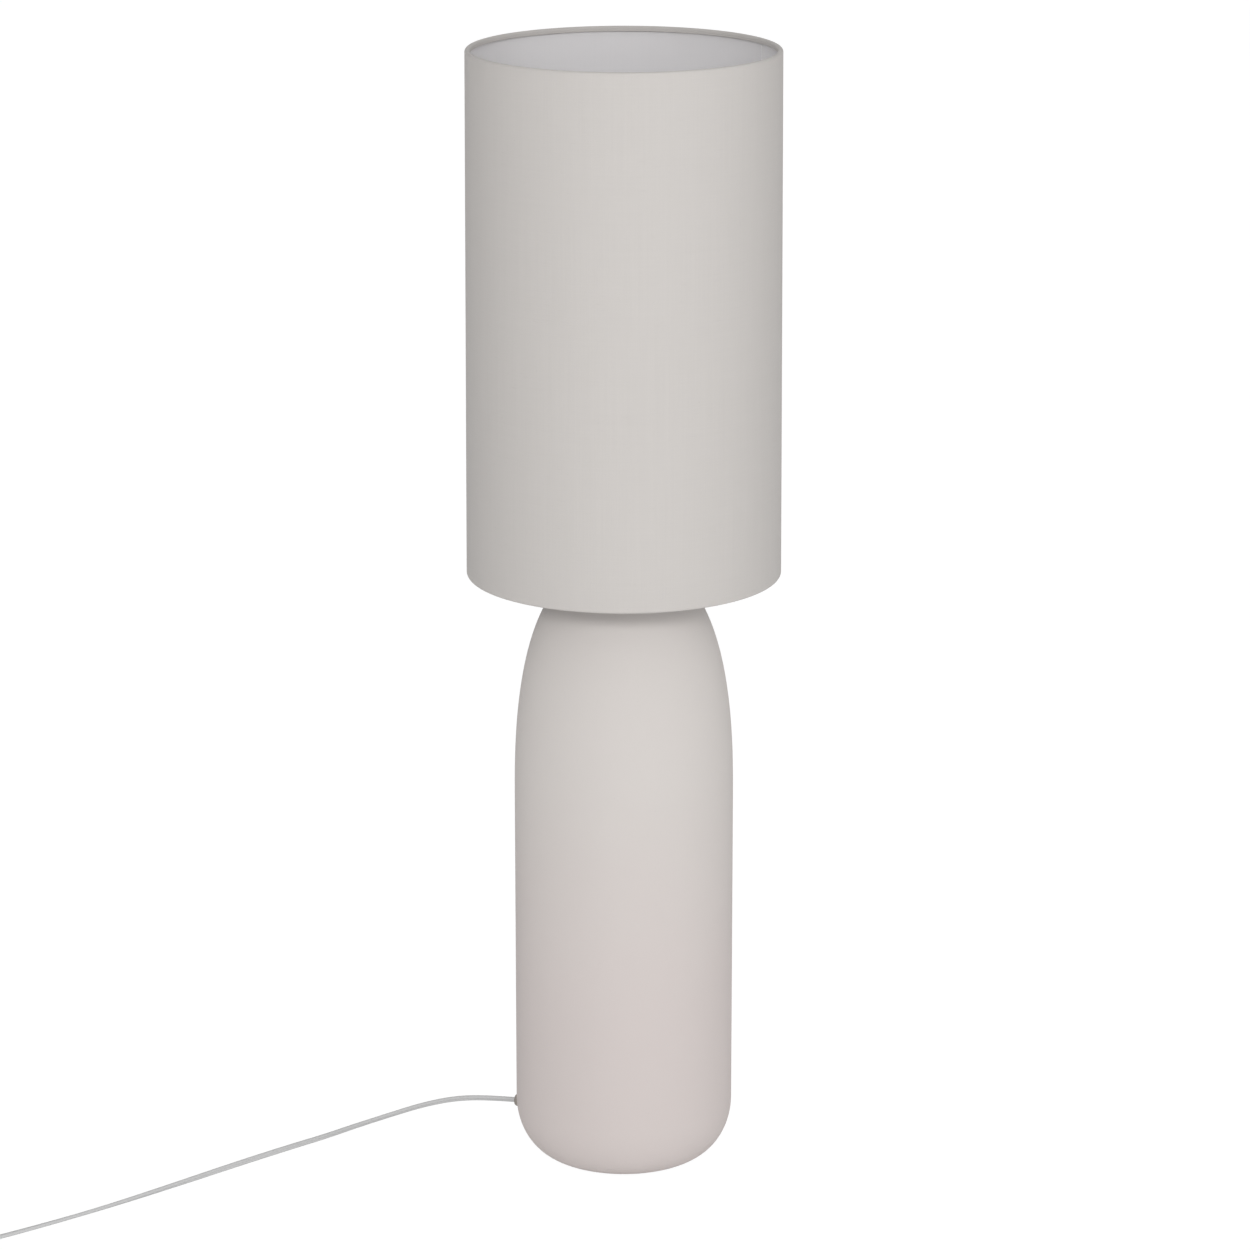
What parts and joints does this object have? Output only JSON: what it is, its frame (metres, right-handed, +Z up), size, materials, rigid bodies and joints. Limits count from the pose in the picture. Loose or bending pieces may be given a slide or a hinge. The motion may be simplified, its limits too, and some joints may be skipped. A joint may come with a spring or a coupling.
{
  "type": "floor lamp",
  "caption": "Column floor lamp: a rounded bottle-shaped body under a tall open drum shade, with a free cord, a foot switch on it and a flat plug.",
  "frame": {"origin": "on the floor, at the lamp's vertical axis", "axes": "+Z up along the axis, -Y towards the front, the cord leaves the body towards -X"},
  "size_m": [0.8487, 0.3775, 1],
  "materials": {
    "body_ceramic": "matt, fine sandy grain",
    "felt": "dense wool felt",
    "zinc_steel": "zinc plated",
    "cap_metal": "matt paint in the body colour",
    "bush_plastic": "moulded, taupe",
    "cord_jacket": "smooth grey jacket",
    "core_copper": "insulated copper cores",
    "holder_plastic": "moulded, white",
    "block_ceramic": "glazed",
    "contact_brass": "plain",
    "bulb_opal": "opal",
    "bulb_housing_white": "smooth",
    "cap_nickel": "nickel plated",
    "insulator_black": "glassy",
    "shade_cloth": "plain weave with small slubs",
    "shade_lining": "smooth lining",
    "frame_white": "powder coat",
    "tie_rubber": "flexible strap",
    "switch_plastic": "moulded, fine texture",
    "button_plastic": "smooth",
    "plug_plastic": "moulded, fine texture",
    "pin_nickel": "nickel plated"
  },
  "bodies": {
    "lamp": {"base_pad": "felt", "body_shell": "body_ceramic", "bulb_board": "bulb_housing_white", "bulb_cap": "cap_nickel", "bulb_dome": "bulb_opal", "bulb_housing": "bulb_housing_white", "bulb_insulator": "insulator_black", "bulb_tip": "cap_nickel", "centre_contact": "contact_brass", "clamp_nut": "zinc_steel", "clamp_plate": "zinc_steel", "coil_tie": "tie_rubber", "contact_block": "block_ceramic", "cord_coil": "cord_jacket", "cord_link": "cord_jacket", "cord_run": "cord_jacket", "cord_tail": "cord_jacket", "core_wires": "core_copper", "gland_bush": "bush_plastic", "gland_nut": "zinc_steel", "holder_cap": "holder_plastic", "holder_shell": "holder_plastic", "inner_cord": "cord_jacket", "lock_nut": "zinc_steel", "plug_body": "plug_plastic", "plug_pins": "pin_nickel", "screw_sleeve": "contact_brass", "shade_ring_lower": "holder_plastic", "shade_ring_upper": "holder_plastic", "switch_base": "switch_plastic", "switch_cords": "cord_jacket", "switch_cover": "switch_plastic", "switch_screws": "zinc_steel", "switch_unit": "switch_plastic", "terminal_screws": "zinc_steel", "tie_tube": "zinc_steel", "top_cap": "cap_metal"},
    "shade": {"shade_cover": "shade_cloth", "shade_liner": "shade_lining", "top_wire": "frame_white", "bottom_wire": "frame_white", "spider": "frame_white"},
    "button": {"switch_button": "button_plastic"}
  },
  "joints": [
    {"name": "shade_turn", "type": "hinge", "parent": "lamp", "child": "shade", "pos_m": [0, 0, 0.5777], "axis": [0, 0, 1], "continuous": true},
    {"name": "switch_press", "type": "slide", "parent": "lamp", "child": "button", "axis": [0, 0, -1], "range_m": [0, 0.003], "stiffness_N_per_m": 400, "springref_m": -0.002}
  ]
}
